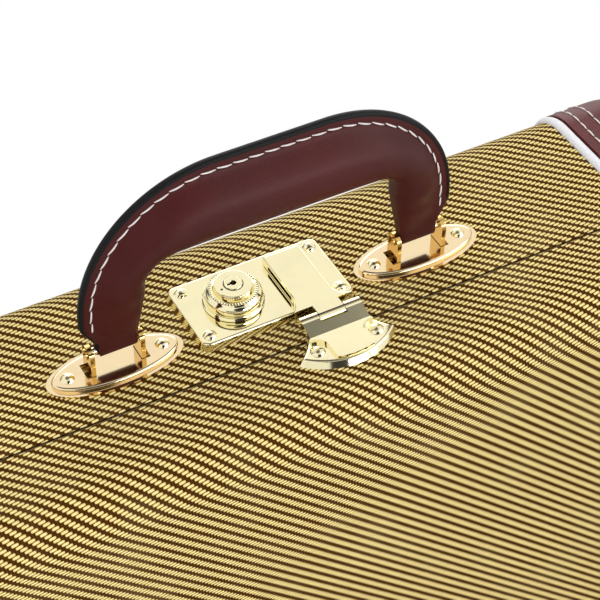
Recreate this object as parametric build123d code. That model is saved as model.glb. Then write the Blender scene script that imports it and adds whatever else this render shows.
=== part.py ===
from build123d import *
import math
import os

# Tweed hard case for harmonicas, standing on its hinge side with the handle on top.
# Millimetres. X runs along the case, the lid is on the -Y side, Z is up, and the feet stand on Z = 0.

# Case body
case_length = 420.0
case_height = 280.0
base_depth = 76.6
lid_depth = 39.5
corner_radius = 28.0
edge_radius = 18.0
foot_height = 8.0
cloth = 1.0
ply = 5.0
seam_gap = 0.8
base_plush = 1.6
lid_plush = 1.0

case_depth = base_depth + lid_depth
back_y = case_depth / 2
seam_y = lid_depth - back_y
base_edge_y = seam_y + seam_gap / 2
lid_edge_y = seam_y - seam_gap / 2
wall_top = foot_height + case_height
middle_z = foot_height + case_height / 2
beyond = 300.0

# Leather ends with their piping
piping_x = 160.0
piping_radius = 2.3
leather_rise = 2.0
leather_start_x = piping_x + 2.5
cover_half_length = piping_x - 2.5

# Rim strip that the lid closes over
rim_thickness = 2.0
rim_reach = 8.0
rim_root_y = 20.0

# Insert with slots for harmonicas and a bay for a microphone
foam_inset = 9.8
foam_top_y = -15.0
foam_back_y = back_y - cloth - ply - base_plush
slot_floor_y = 14.0
bay_floor_y = 46.0
tray_half_length = 188.0
tray_low_z = 28.0
tray_high_z = 268.0
row_wall = 16.0
slot_width = 22.0
slot_wall = 5.0
slot_columns = 10
bay_wall = 8.0
slot_pitch = slot_width + slot_wall
slots_end_x = slot_columns * slot_pitch - slot_wall - tray_half_length
row_low_z = (tray_low_z + tray_high_z - row_wall) / 2
row_high_z = row_low_z + row_wall

# Padded cushion inside the lid
pad_border = 12.0
pad_corner = 20.0
pad_edge_thickness = 9.0
pad_crown = 8.0

# Lid hinges under the case
hinge_places_x = [-100.0, 0.0, 100.0]
hinge_width = 42.0
hinge_leaf_depth = 17.0
hinge_sheet = 1.2
barrel_radius = 2.5
barrel_drop = 2.75
hinge_pin_radius = 1.2
running_clearance = 0.05
knuckle_gap = 0.3
middle_knuckle = 14.0
leaf_clearance = 0.4
hinge_rivet_inset = 6.0

# Feet
foot_radius = 7.0
foot_flat_radius = 4.5
foot_x = 140.0
base_foot_y = 32.0
lid_foot_y = -32.0

# Carrying loops
handle_y = 3.65
loop_x = 65.0
loop_half_length = 27.5
loop_half_width = 11.5
loop_height = 2.8
loop_flange = 0.9
loop_step = 2.0
loop_rim = 1.2
loop_pocket = 1.1
ear_offset = 10.1
ear_thickness = 1.8
ear_half_width = 3.8
ear_height = 15.0
slot_play = 0.2
slot_gap = 1.7
pivot_height = 12.0
loop_pin_radius = 1.5
pin_head_radius = 2.2
pin_head = 0.8
loop_rivet_offset = 19.25

# Handle
bar_height = 64.3
leg_x = 62.8
bar_radius = 11.0
leg_radius = 8.3
bend_radius = 24.0
grip_start = 22.0
tongue_half_width = 8.6
tongue_half_thickness = 2.8
tongue_low = 9.2
tongue_x = 65.0
core_radius = 4.0
fin_top = 85.0
fin_side = 78.0
fin_arc = 56.0
fin_low = 25.0
fin_foot_x = 72.6
fin_foot = 16.6
fin_half_thickness = 1.8
edge_width = 1.2
edge_half_thickness = 2.0

# Lock
lock_x = -0.2
lock_y = 11.25
lock_length = 64.5
lock_width = 34.0
lock_height = 3.2
lock_corner = 3.0
lock_sheet = 1.2
lock_edge = 0.9
lock_flare = 1.0
lock_draft = 20.0
lock_rivet_x = 28.08
lock_rivet_y = 12.55
boss_x = -12.0
boss_y = 11.05
slide_travel = 5.0
stem_radius = 4.0
stem_play = 0.3
lock_case_length = 46.0
lock_case_width = 20.0
lock_case_depth = 7.0
lock_case_wall = 0.8
slide_thickness = 1.6
slide_half_width = 6.0
slide_tail = 4.6
slide_low = -3.0
plug_radius = 3.5
plug_low = -1.5
boss_seat = 0.25
boss_radius = 12.0
boss_waist = 11.3
coin_radius = 10.1
coin_inner = 8.0
face_radius = 7.5
boss_height = 8.8
boss_top = 9.2
spring_radius = 1.4
spring_length = 10.0
spring_wall = 0.5

# Hasp
hasp_x = 16.0
hasp_pin_y = -13.85
hasp_pin_height = 4.9
hasp_barrel_radius = 2.6
hasp_pin_radius = 1.1
leaf_left_x = 7.0
leaf_right_x = 23.0
leaf_tip_y = 23.35
leaf_neck_y = -1.6
leaf_foot_y = -9.4
leaf_foot_half = 12.8
leaf_top = 7.5
leaf_sheet = 1.0
leaf_low = 3.5
leaf_slot_height = 1.9
leaf_slot_low = 4.1
leaf_edge = 0.9
leaf_slot_start_y = -0.6
leaf_slot_end_y = 18.9
staple_low = 2.7
staple_half_width = 3.0
staple_thickness = 1.6
staple_y = 11.25
knuckle_left_x = 11.2
knuckle_right_x = 22.0
plate_half_top = 12.9
plate_top_y = -19.3
plate_waist_y = -23.2
plate_waist_left = 15.2
plate_waist_right = 15.8
plate_wing_y = -28.8
plate_wing_half = 20.8
plate_low_y = -37.3
plate_height = 3.4
plate_draft = 16.0
plate_edge = 0.9
plate_wall = 1.3
plate_hollow_y = -22.0
plate_hollow_height = 2.2
dish_inset = 1.6
dish_height = 4.8
screw_recess = 4.8
band_low_y = -21.8
band_sheet_z = 3.6
hasp_screw_x = 12.55
hasp_screw_y = -27.7

# Fasteners
rivet_radius = 2.75
rivet_height = 1.7
shank_radius = 1.4
shank_length = 4.0
screw_radius = 3.0
screw_height = 1.6
screw_slot = 0.8


def box_between(low, high):
    """Box from its low corner to its high corner."""
    size = [b - a for a, b in zip(low, high)]
    middle = [(a + b) / 2 for a, b in zip(low, high)]
    return Pos(*middle) * Box(*size)


def case_block(inset):
    """Rounded block of the whole case, smaller by inset on every side."""
    profile = RectangleRounded(
        case_length - 2 * inset, case_height - 2 * inset, corner_radius - inset
    )
    block = extrude(Plane.XZ * profile, case_depth / 2 - inset, both=True)
    by_depth = block.edges().group_by(Axis.Y)
    block = fillet(by_depth[0] + by_depth[-1], edge_radius - inset)
    return Pos(0, 0, middle_z) * block


def keep_y(solid, low_y, high_y):
    """Slice of a solid between two depths."""
    return solid & box_between((-beyond, low_y, -beyond), (beyond, high_y, 2 * beyond))


def keep_x(solid, low_x, high_x):
    """Slice of a solid between two places along the case."""
    return solid & box_between((low_x, -beyond, -beyond), (high_x, beyond, 2 * beyond))


def dome(radius, height):
    """Spherical cap standing on Z = 0."""
    sphere = (radius**2 + height**2) / (2 * height)
    half_angle = math.asin(radius / sphere) / 2
    middle = (sphere * math.sin(half_angle), height - sphere + sphere * math.cos(half_angle))
    outline = [
        Line((0, 0), (radius, 0)),
        ThreePointArc((radius, 0), middle, (0, height)),
        Line((0, height), (0, 0)),
    ]
    return revolve(Plane.XZ * make_face(outline), Axis.Z)


def upright(radius, low, high):
    """Vertical cylinder between two heights."""
    return Pos(0, 0, (low + high) / 2) * Cylinder(radius, high - low)


def along_x(radius, low_x, high_x, y, z):
    """Cylinder along the case."""
    return Pos((low_x + high_x) / 2, y, z) * Rot(0, 90, 0) * Cylinder(radius, high_x - low_x)


def rivet(seat):
    """Dome rivet whose head stands on its seat above the wall."""
    return Pos(0, 0, seat) * dome(rivet_radius, rivet_height) + upright(
        shank_radius, -shank_length, seat
    )


def shank_hole(low, high):
    """Hole that a rivet's shank passes through."""
    return upright(shank_radius + running_clearance, low, high)


# Places of the hardware on the handle wall
loop_rivet_places = [
    (side * loop_x + offset, handle_y)
    for side in (-1, 1)
    for offset in (-loop_rivet_offset, loop_rivet_offset)
]
lock_rivet_places = [
    (lock_x + side * lock_rivet_x, lock_y + end * lock_rivet_y)
    for side in (-1, 1)
    for end in (-1, 1)
]
hasp_screw_places = [(hasp_x + side * hasp_screw_x, hasp_screw_y) for side in (-1, 1)]


def wall_holes(places):
    """Shank holes through the handle wall's cover and into its ply."""
    return [Pos(x, y, wall_top) * shank_hole(-shank_length - 1, 1) for x, y in places]


def hinge_rivet_places(side):
    """Rivets of the lid hinges, on the base for side 1 and on the lid for side -1."""
    y = seam_y + side * (hinge_leaf_depth - hinge_rivet_inset)
    reach = hinge_width / 2 - hinge_rivet_inset
    return [(x + end * reach, y) for x in hinge_places_x for end in (-1, 1)]


def under_holes(side):
    """Shank holes of the hinge rivets, up into the wall that the feet are on."""
    return [
        Pos(x, y, foot_height) * shank_hole(-1, shank_length + 1)
        for x, y in hinge_rivet_places(side)
    ]


def lock_cut():
    """Opening in the handle wall for the lock's sunk case."""
    play = 0.2
    half_length = lock_case_length / 2 + play
    half_width = lock_case_width / 2 + play
    return box_between(
        (lock_x - half_length, lock_y - half_width, wall_top - lock_case_depth - play),
        (lock_x + half_length, lock_y + half_width, wall_top + cloth),
    )


# Shells, covers and linings

base_holes = wall_holes(loop_rivet_places + lock_rivet_places) + under_holes(1) + [lock_cut()]
lid_holes = wall_holes(hasp_screw_places) + under_holes(-1)
cover_block = case_block(0)
ply_block = case_block(cloth)
hollow_block = case_block(cloth + ply)


def layer(outer, inner, side):
    """Layer between two blocks, on the base for side 1 and on the lid for side -1."""
    if side > 0:
        return keep_y(outer - inner, base_edge_y, beyond)
    return keep_y(outer - inner, -beyond, lid_edge_y)


def base_shell():
    return layer(ply_block, hollow_block, 1) - base_holes


def lid_shell():
    return layer(ply_block, hollow_block, -1) - lid_holes


def base_cover():
    skin = layer(cover_block, ply_block, 1) - base_holes
    return keep_x(skin, -cover_half_length, cover_half_length)


def lid_cover():
    skin = layer(cover_block, ply_block, -1) - lid_holes
    return keep_x(skin, -cover_half_length, cover_half_length)


def base_lining():
    return layer(hollow_block, case_block(cloth + ply + base_plush), 1) - [lock_cut()]


def lid_lining():
    return layer(hollow_block, case_block(cloth + ply + lid_plush), -1)


def leather_end(side, end):
    """Leather end of the base or lid, at the left for end -1 and at the right for end 1."""
    skin = layer(case_block(-leather_rise), ply_block, side)
    if end > 0:
        return keep_x(skin, leather_start_x, beyond)
    return keep_x(skin, -beyond, -leather_start_x)


def piping(side, end):
    """Round bead around the base or lid, where the cover meets the leather."""
    inset = piping_radius - leather_rise
    edge = base_edge_y if side > 0 else lid_edge_y
    face = side * (back_y - inset)
    top = wall_top - inset
    low = foot_height + inset
    corners = [(edge, top), (face, top), (face, low), (edge, low)]
    points = [Vector(end * piping_x, y, z) for y, z in corners]
    path = FilletPolyline(*points, radius=edge_radius - inset)
    start = Plane(origin=points[0], z_dir=(0, side, 0))
    bead = sweep(start * Circle(piping_radius), path=path)
    return bead - case_block(cloth - running_clearance)


def rim_strip():
    ring = case_block(cloth + ply + base_plush) - case_block(
        cloth + ply + base_plush + rim_thickness
    )
    return keep_y(ring, seam_y - rim_reach, rim_root_y)


# Insert

def tray_pocket():
    return box_between(
        (-tray_half_length, foam_top_y - 1, tray_low_z),
        (tray_half_length, beyond, tray_high_z),
    )


def foam_frame():
    block = keep_y(case_block(foam_inset), foam_top_y, foam_back_y)
    return block - tray_pocket()


def slot_floor():
    return box_between(
        (-tray_half_length, slot_floor_y, tray_low_z), (slots_end_x, foam_back_y, tray_high_z)
    )


def row_divider():
    return box_between(
        (-tray_half_length, foam_top_y, row_low_z), (slots_end_x, slot_floor_y, row_high_z)
    )


def bay_divider():
    return box_between(
        (slots_end_x, foam_top_y, tray_low_z), (slots_end_x + bay_wall, foam_back_y, tray_high_z)
    )


def bay_floor():
    return box_between(
        (slots_end_x + bay_wall, bay_floor_y, tray_low_z),
        (tray_half_length, foam_back_y, tray_high_z),
    )


def slot_dividers():
    walls = []
    for low_z, high_z in ((tray_low_z, row_low_z), (row_high_z, tray_high_z)):
        for column in range(1, slot_columns):
            high_x = column * slot_pitch - tray_half_length
            wall = box_between(
                (high_x - slot_wall, foam_top_y, low_z), (high_x, slot_floor_y, high_z)
            )
            walls.append(wall)
    return Compound(walls)


def lid_pad():
    """Cushion in the lid, with a crown that rises from its edge to its middle."""
    length = case_length - 2 * (cloth + ply + lid_plush + pad_border)
    height = case_height - 2 * (cloth + ply + lid_plush + pad_border)
    seat_y = cloth + ply + lid_plush - back_y
    outline = RectangleRounded(length, height, pad_corner)
    slab = extrude(Plane.XZ * outline, -pad_edge_thickness)
    crown_edge = pad_edge_thickness * 2
    top = RectangleRounded(length - 2 * crown_edge, height - 2 * crown_edge, pad_corner)
    lower = Plane.XZ.offset(-pad_edge_thickness) * outline
    upper = Plane.XZ.offset(-pad_edge_thickness - pad_crown) * top
    crown = loft([lower, upper], ruled=True)
    return Pos(0, seat_y, middle_z) * (slab + crown)


# Lid hinges and feet

hinge_z = foot_height - barrel_drop


def hinge_leaf(side):
    """One leaf on its axis: outer knuckles on the base, the middle one on the lid."""
    half = hinge_width / 2
    half_middle = middle_knuckle / 2
    base_spans = [(-half, -half_middle - knuckle_gap), (half_middle + knuckle_gap, half)]
    lid_spans = [(-half_middle, half_middle)]
    spans = base_spans if side > 0 else lid_spans
    root = barrel_radius + leaf_clearance
    sheet_low = barrel_drop - hinge_sheet
    leaf = box_between((-half, root, sheet_low), (half, hinge_leaf_depth, barrel_drop))
    for low_x, high_x in spans:
        leaf += along_x(barrel_radius, low_x, high_x, 0, 0)
        leaf += box_between((low_x, 0, sheet_low), (high_x, root, barrel_drop - leaf_clearance / 2))
    leaf -= along_x(hinge_pin_radius + running_clearance, -half - 1, half + 1, 0, 0)
    for end in (-1, 1):
        rivet_x = end * (half - hinge_rivet_inset)
        leaf -= Pos(rivet_x, hinge_leaf_depth - hinge_rivet_inset, 0) * shank_hole(-9, 9)
    if side < 0:
        leaf = leaf.mirror(Plane.XZ)
    return leaf


def hinge_leaves(side):
    leaf = hinge_leaf(side)
    return Compound([Pos(x, seam_y, hinge_z) * leaf for x in hinge_places_x])


def hinge_pins():
    half = hinge_width / 2
    pins = [
        along_x(hinge_pin_radius, x - half, x + half, seam_y, hinge_z) for x in hinge_places_x
    ]
    return Compound(pins)


def hinge_rivets(side):
    head_low = foot_height - hinge_sheet
    small_rivet = upright(shank_radius, 0, hinge_sheet + shank_length) + Rot(
        180, 0, 0
    ) * dome(rivet_radius, rivet_height)
    return Compound([Pos(x, y, head_low) * small_rivet for x, y in hinge_rivet_places(side)])


def feet(y):
    """Two brass glides with a flat to stand on."""
    outline = [
        Line((0, 0), (foot_flat_radius, 0)),
        RadiusArc((foot_flat_radius, 0), (foot_radius, foot_height), -foot_height * 1.2),
        Line((foot_radius, foot_height), (0, foot_height)),
        Line((0, foot_height), (0, 0)),
    ]
    foot = revolve(Plane.XZ * make_face(outline), Axis.Z)
    return Compound([Pos(side * foot_x, y, 0) * foot for side in (-1, 1)])


# Carrying loops

def loop_plate(side):
    """Oval plate with a raised rim, slots for the ears and a pocket for the bracket."""
    middle = extrude(Ellipse(loop_half_length - loop_step, loop_half_width - loop_step), loop_height)
    middle = fillet(middle.edges().group_by(Axis.Z)[-1], loop_rim)
    outer = middle + extrude(Ellipse(loop_half_length, loop_half_width), loop_flange)
    strip = ear_offset + ear_thickness / 2 + slot_play
    pocket = box_between((-strip, -ear_half_width - slot_play, 0),
                         (strip, ear_half_width + slot_play, loop_pocket))
    plate = outer - pocket
    inner_x = ear_offset - ear_thickness / 2 - slot_play
    outer_x = ear_offset + ear_thickness / 2 + slot_gap
    for end in (-1, 1):
        low_x = min(end * inner_x, end * outer_x)
        high_x = max(end * inner_x, end * outer_x)
        plate -= box_between((low_x, -ear_half_width - slot_play, 0),
                             (high_x, ear_half_width + slot_play, loop_height + 1))
        plate -= Pos(end * loop_rivet_offset, 0, 0) * shank_hole(-1, loop_height + 1)
    return Pos(side * loop_x, handle_y, wall_top) * plate


def loop_bracket(side):
    """U bracket whose two round-topped ears carry the handle's pin."""
    strip = ear_offset + ear_thickness / 2
    bracket = box_between((-strip, -ear_half_width, 0), (strip, ear_half_width, loop_pocket - 0.1))
    round_centre = ear_height - ear_half_width
    for end in (-1, 1):
        low_x = end * ear_offset - ear_thickness / 2
        high_x = end * ear_offset + ear_thickness / 2
        ear = box_between((low_x, -ear_half_width, 0), (high_x, ear_half_width, round_centre))
        bracket += ear + along_x(ear_half_width, low_x, high_x, 0, round_centre)
    hole = along_x(loop_pin_radius + running_clearance / 2, -beyond, beyond, 0, pivot_height)
    return Pos(side * loop_x, handle_y, wall_top) * (bracket - hole)


def loop_pins():
    reach = ear_offset + ear_thickness / 2
    pin = along_x(loop_pin_radius, -reach, reach, 0, pivot_height)
    for end in (-1, 1):
        low_x = min(end * reach, end * (reach + pin_head))
        pin += along_x(pin_head_radius, low_x, low_x + pin_head, 0, pivot_height)
    return Compound([Pos(side * loop_x, handle_y, wall_top) * pin for side in (-1, 1)])


def wall_rivets(places, seat):
    return Compound([Pos(x, y, wall_top) * rivet(seat) for x, y in places])


# Handle, built upright over its own pivot line and then placed on the wall

def place_handle(solid):
    return Pos(0, handle_y, wall_top) * solid


def bend_section(turn, radius):
    """Round section of the grip part way round its bend, from the leg at 0 to the bar."""
    straight = leg_x - bend_radius
    rise = bar_height - bend_radius
    across = straight + bend_radius * math.cos(turn)
    up = rise + bend_radius * math.sin(turn)
    direction = (-math.sin(turn), 0, math.cos(turn))
    return Plane(origin=(across, 0, up), x_dir=(0, 1, 0), z_dir=direction) * Circle(radius)


def leg_tongue(side):
    """Flat leather tongue that the loop's pin passes through."""
    tongue = box_between(
        (tongue_x - tongue_half_width, -tongue_half_thickness, tongue_low),
        (tongue_x + tongue_half_width, tongue_half_thickness, grip_start + leg_radius),
    )
    tongue = fillet(tongue.edges().filter_by(Axis.X).group_by(Axis.Z)[0], tongue_half_thickness * 0.9)
    if side < 0:
        tongue = tongue.mirror(Plane.YZ)
    return tongue


def grip_body():
    """Padded grip: a bar that narrows round each bend to the leg, then the flat tongue."""
    straight = leg_x - bend_radius
    rise = bar_height - bend_radius
    bend_steps = 6
    sections = []
    for step in range(bend_steps + 1):
        part_way = step / bend_steps
        radius = leg_radius + (bar_radius - leg_radius) * part_way
        sections.append(bend_section(part_way * math.pi / 2, radius))
    leg = Pos(leg_x, 0, 0) * upright(leg_radius, grip_start, rise)
    half = loft(sections) + leg
    body = along_x(bar_radius, -straight, straight, 0, bar_height) + half + half.mirror(Plane.YZ)
    for side in (-1, 1):
        body += leg_tongue(side)
    return body - along_x(loop_pin_radius + running_clearance, -beyond, beyond, 0, pivot_height)


def handle_core(radius):
    """Stiff core inside the grip, or the bore for it."""
    corners = [
        Vector(leg_x, 0, grip_start),
        Vector(leg_x, 0, bar_height),
        Vector(-leg_x, 0, bar_height),
        Vector(-leg_x, 0, grip_start),
    ]
    path = FilletPolyline(*corners, radius=bend_radius)
    return sweep(Plane(path ^ 0) * Circle(radius), path=path)


def fin_outline(inset):
    """Closed outline of the handle's outer edge, moved in by inset."""
    side = fin_side - inset
    top = fin_top - inset
    arc = fin_arc - inset
    shoulder_x = fin_side - fin_arc
    shoulder_z = fin_top - fin_arc
    mid_x = shoulder_x + arc * math.sin(math.pi / 4)
    mid_z = shoulder_z + arc * math.cos(math.pi / 4)
    foot_x = fin_foot_x - inset
    outline = [
        Line((-shoulder_x, top), (shoulder_x, top)),
        ThreePointArc((shoulder_x, top), (mid_x, mid_z), (side, shoulder_z)),
        Line((side, shoulder_z), (side, fin_low)),
        Line((side, fin_low), (foot_x, fin_foot)),
        Line((foot_x, fin_foot), (leg_x, fin_foot)),
        Line((leg_x, fin_foot), (leg_x, bar_height)),
        Line((leg_x, bar_height), (-leg_x, bar_height)),
        Line((-leg_x, bar_height), (-leg_x, fin_foot)),
        Line((-leg_x, fin_foot), (-foot_x, fin_foot)),
        Line((-foot_x, fin_foot), (-side, fin_low)),
        Line((-side, fin_low), (-side, shoulder_z)),
        ThreePointArc((-side, shoulder_z), (-mid_x, mid_z), (-shoulder_x, top)),
    ]
    return make_face(outline)


def fin_slab(inset, half_thickness):
    return extrude(Plane.XZ * fin_outline(inset), half_thickness, both=True)


# Lock

def lock_plate():
    """Pressed plate with four rivet holes, a slot for the boss and a mouth for the staple."""
    foot = RectangleRounded(
        lock_length + 2 * lock_flare, lock_width + 2 * lock_flare, lock_corner + lock_flare
    )
    plate = extrude(foot, lock_height, taper=lock_draft)
    plate = fillet(plate.edges().group_by(Axis.Z)[-1], lock_edge)
    hollow = RectangleRounded(
        lock_length - 2 * lock_sheet, lock_width - 2 * lock_sheet, lock_corner - lock_sheet
    )
    plate -= extrude(hollow, lock_height - lock_sheet)
    for x, y in lock_rivet_places:
        plate += Pos(x - lock_x, y - lock_y, 0) * upright(rivet_radius, 0, lock_height - lock_sheet)
        plate -= Pos(x - lock_x, y - lock_y, 0) * shank_hole(-1, lock_height + 1)
    opening = 2 * (stem_radius + stem_play)
    slot = SlotOverall(opening + slide_travel, opening)
    plate -= Pos(boss_x - slide_travel / 2 - lock_x, boss_y - lock_y, 0) * extrude(slot, 9)
    mouth = box_between(
        (hasp_x - staple_half_width - 1 - lock_x, staple_y - 10 - lock_y, 0),
        (hasp_x + staple_half_width + 1 - lock_x, staple_y + 3 - lock_y, 9),
    )
    return Pos(lock_x, lock_y, wall_top) * (plate - mouth)


def lock_case():
    """Open sheet box under the plate, sunk into the wall around the slide."""
    half_length = lock_case_length / 2
    half_width = lock_case_width / 2
    outer = box_between((-half_length, -half_width, -lock_case_depth), (half_length, half_width, 0))
    inner = box_between(
        (lock_case_wall - half_length, lock_case_wall - half_width, lock_case_wall - lock_case_depth),
        (half_length - lock_case_wall, half_width - lock_case_wall, 1),
    )
    return Pos(lock_x, lock_y, wall_top) * (outer - inner)


def lock_slide():
    """Sliding bar with the boss's hollow stem; its nose stands beside the hasp's staple."""
    low_x = boss_x - slide_tail
    nose_x = hasp_x - staple_half_width - 0.4
    bar = box_between(
        (low_x, boss_y - slide_half_width, slide_low),
        (nose_x, boss_y + slide_half_width, slide_low + slide_thickness),
    )
    nose = box_between(
        (nose_x - 4, boss_y - 2, slide_low + slide_thickness), (nose_x, boss_y + 2, lock_height - lock_sheet - 0.2)
    )
    stem = Pos(boss_x, boss_y, 0) * upright(stem_radius, slide_low, lock_height + boss_seat)
    bore = Pos(boss_x, boss_y, 0) * upright(plug_radius + running_clearance, plug_low - 0.3, beyond)
    return Pos(0, 0, wall_top) * (bar + nose + stem - bore)


def lock_boss():
    """Round thumb boss: flange, polished dome, coined ring and centre cylinder."""
    seat = lock_height + boss_seat
    bore = plug_radius + running_clearance
    outline = [
        Line((bore, seat), (boss_radius, seat)),
        Line((boss_radius, seat), (boss_radius, seat + 0.7)),
        Line((boss_radius, seat + 0.7), (boss_radius - 0.4, seat + 1.1)),
        Line((boss_radius - 0.4, seat + 1.1), (boss_waist - 0.3, seat + 1.2)),
        Line((boss_waist - 0.3, seat + 1.2), (boss_waist - 0.3, seat + 1.6)),
        ThreePointArc(
            (boss_waist - 0.3, seat + 1.6),
            (boss_waist + 0.1, seat + 3.2),
            (coin_radius, seat + 5.7),
        ),
        Line((coin_radius, seat + 5.7), (coin_radius - 0.5, seat + 6.2)),
        Line((coin_radius - 0.5, seat + 6.2), (coin_inner, seat + 6.5)),
        Line((coin_inner, seat + 6.5), (face_radius, seat + 6.1)),
        Line((face_radius, seat + 6.1), (face_radius, seat + boss_height - 0.4)),
        ThreePointArc(
            (face_radius, seat + boss_height - 0.4),
            (face_radius - 0.12, seat + boss_height - 0.12),
            (face_radius - 0.4, seat + boss_height),
        ),
        Line((face_radius - 0.4, seat + boss_height), (bore, seat + boss_height)),
        Line((bore, seat + boss_height), (bore, seat)),
    ]
    body = revolve(Plane.XZ * make_face(outline), Axis.Z)
    return Pos(boss_x, boss_y, wall_top) * body


def key_plug():
    """Plug with its keyhole, turning inside the boss."""
    top = lock_height + boss_seat + boss_top
    plug = upright(plug_radius, plug_low, top)
    keyway = box_between((-2.6, -0.5, top - 6), (1.4, 0.5, top + 1))
    keyway += upright(1.1, top - 6, top + 1)
    return Pos(boss_x, boss_y, wall_top) * (plug - keyway)


def lock_spring():
    """Return spring in the case's floor, under the slide, as a plain sleeve."""
    low_x = lock_x - lock_case_length / 2 + lock_case_wall
    height = wall_top + slide_low - spring_radius - 0.1
    sleeve = along_x(spring_radius, low_x, low_x + spring_length, lock_y, height)
    bore = along_x(spring_radius - spring_wall, low_x, low_x + spring_length, lock_y, height)
    return sleeve - bore


# Hasp

def hasp_leaf():
    """Raised tray over the lock plate, with a slotted side and a foot that widens to its knuckle."""
    left_foot = hasp_x + 0.3 - leaf_foot_half
    right_foot = hasp_x + 0.3 + leaf_foot_half
    outline = Polyline(
        (leaf_left_x, leaf_tip_y),
        (leaf_right_x, leaf_tip_y),
        (leaf_right_x, leaf_neck_y - 2.6),
        (leaf_right_x + 1.6, leaf_neck_y - 5.6),
        (right_foot, leaf_foot_y),
        (left_foot, leaf_foot_y),
        (leaf_left_x - 1.6, leaf_neck_y - 4.6),
        (leaf_left_x, leaf_neck_y),
        close=True,
    )
    face = make_face(outline)
    plate = Pos(0, 0, leaf_low) * extrude(face, leaf_top - leaf_low)
    rim = [edge for edge in plate.edges().group_by(Axis.Z)[-1] if edge.center().Y > leaf_foot_y + 0.1]
    plate = fillet(rim, leaf_edge)
    hollow = extrude(offset(face, -leaf_sheet, kind=Kind.INTERSECTION), leaf_top - leaf_sheet)
    hollow += box_between(
        (left_foot + leaf_sheet, leaf_foot_y - 1, 0),
        (right_foot - leaf_sheet, leaf_foot_y + 1.2, leaf_top - leaf_sheet),
    )
    plate -= hollow
    slot_length = leaf_slot_end_y - leaf_slot_start_y
    slot = Plane.YZ * SlotOverall(slot_length, leaf_slot_height)
    slot_middle_y = (leaf_slot_start_y + leaf_slot_end_y) / 2
    slot_middle_z = leaf_slot_low + leaf_slot_height / 2
    plate -= Pos(leaf_left_x, slot_middle_y, slot_middle_z) * extrude(slot, leaf_sheet + 0.5, both=True)
    plate += box_between(
        (hasp_x - staple_half_width, staple_y - staple_thickness / 2, staple_low),
        (hasp_x + staple_half_width, staple_y + staple_thickness / 2, leaf_top),
    )
    plate += along_x(
        hasp_barrel_radius, knuckle_left_x, knuckle_right_x, hasp_pin_y, hasp_pin_height
    )
    plate += box_between(
        (knuckle_left_x, hasp_pin_y, leaf_top - leaf_sheet),
        (knuckle_right_x, leaf_foot_y + 0.5, leaf_top),
    )
    plate -= along_x(
        hasp_pin_radius + running_clearance, -beyond, beyond, hasp_pin_y, hasp_pin_height
    )
    return Pos(0, 0, wall_top) * plate


def shield(inset, back_y):
    """Outline of the hinge plate, moved in by inset and cut off at back_y."""
    left = hasp_x + 0.3 - plate_half_top + inset
    right = hasp_x + 0.3 + plate_half_top - inset
    wing = plate_wing_half - inset
    low = plate_low_y + inset
    waist_left = hasp_x - plate_waist_left + inset
    waist_right = hasp_x + plate_waist_right - inset
    outline = [
        Line((right, back_y), (left, back_y)),
        ThreePointArc((left, back_y), (waist_left, plate_waist_y), (hasp_x - wing, plate_wing_y)),
        ThreePointArc((hasp_x - wing, plate_wing_y), (hasp_x, low), (hasp_x + wing, plate_wing_y)),
        ThreePointArc((hasp_x + wing, plate_wing_y), (waist_right, plate_waist_y), (right, back_y)),
    ]
    return make_face(outline)


def raised_middle():
    """Raised middle of the hinge plate, which leaves a low corner round each screw."""
    dish = extrude(shield(dish_inset, plate_top_y), dish_height)
    for x, y in hasp_screw_places:
        side = 1 if x > hasp_x else -1
        outer_x = x + side * plate_wing_half
        corner = Pos(x, y, 0) * upright(screw_recess, -1, beyond)
        corner += box_between(
            (min(x, outer_x), -beyond, -1), (max(x, outer_x), y + screw_recess, beyond)
        )
        corner += box_between((x - screw_recess, -beyond, -1), (x + screw_recess, y, beyond))
        dish -= corner
    return dish


def hasp_plate():
    """Shield-shaped hinge plate on the lid, with a sloped band up to its two knuckles."""
    left_top = hasp_x + 0.3 - plate_half_top
    right_top = hasp_x + 0.3 + plate_half_top
    plate = extrude(shield(0, plate_top_y), plate_height, taper=plate_draft)
    plate = fillet(plate.edges().group_by(Axis.Z)[-1].filter_by(GeomType.CIRCLE), plate_edge)
    plate += raised_middle()
    lean_y = hasp_pin_y - hasp_barrel_radius * math.sin(math.pi / 4)
    lean_z = hasp_pin_height + hasp_barrel_radius * math.sin(math.pi / 4)
    band = Polyline(
        (band_low_y, dish_height),
        (band_low_y, band_sheet_z),
        (hasp_pin_y - hasp_barrel_radius + 0.25, band_sheet_z),
        (hasp_pin_y - 1.2, lean_z - 0.8),
        (lean_y, lean_z),
        close=True,
    )
    sloped = extrude(Plane.YZ * make_face(band), right_top - left_top)
    plate += Pos(left_top, 0, 0) * sloped
    plate -= extrude(shield(plate_wall, plate_hollow_y), plate_hollow_height)
    for x, y in hasp_screw_places:
        plate += Pos(x, y, 0) * upright(screw_radius, 0, plate_height - 1)
        plate -= Pos(x, y, 0) * shank_hole(-1, plate_height + 1)
    room = hasp_barrel_radius + 0.7
    plate -= box_between(
        (knuckle_left_x - knuckle_gap, hasp_pin_y - room, 0),
        (knuckle_right_x + knuckle_gap, beyond, beyond),
    )
    for low_x, high_x in (
        (left_top, knuckle_left_x - knuckle_gap),
        (knuckle_right_x + knuckle_gap, right_top),
    ):
        plate += along_x(hasp_barrel_radius, low_x, high_x, hasp_pin_y, hasp_pin_height)
    plate -= along_x(hasp_pin_radius + 0.02, -beyond, beyond, hasp_pin_y, hasp_pin_height)
    return Pos(0, 0, wall_top) * plate


def hasp_pin():
    left = hasp_x + 0.3 - plate_half_top
    right = hasp_x + 0.3 + plate_half_top
    return Pos(0, 0, wall_top) * along_x(hasp_pin_radius, left, right, hasp_pin_y, hasp_pin_height)


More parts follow.
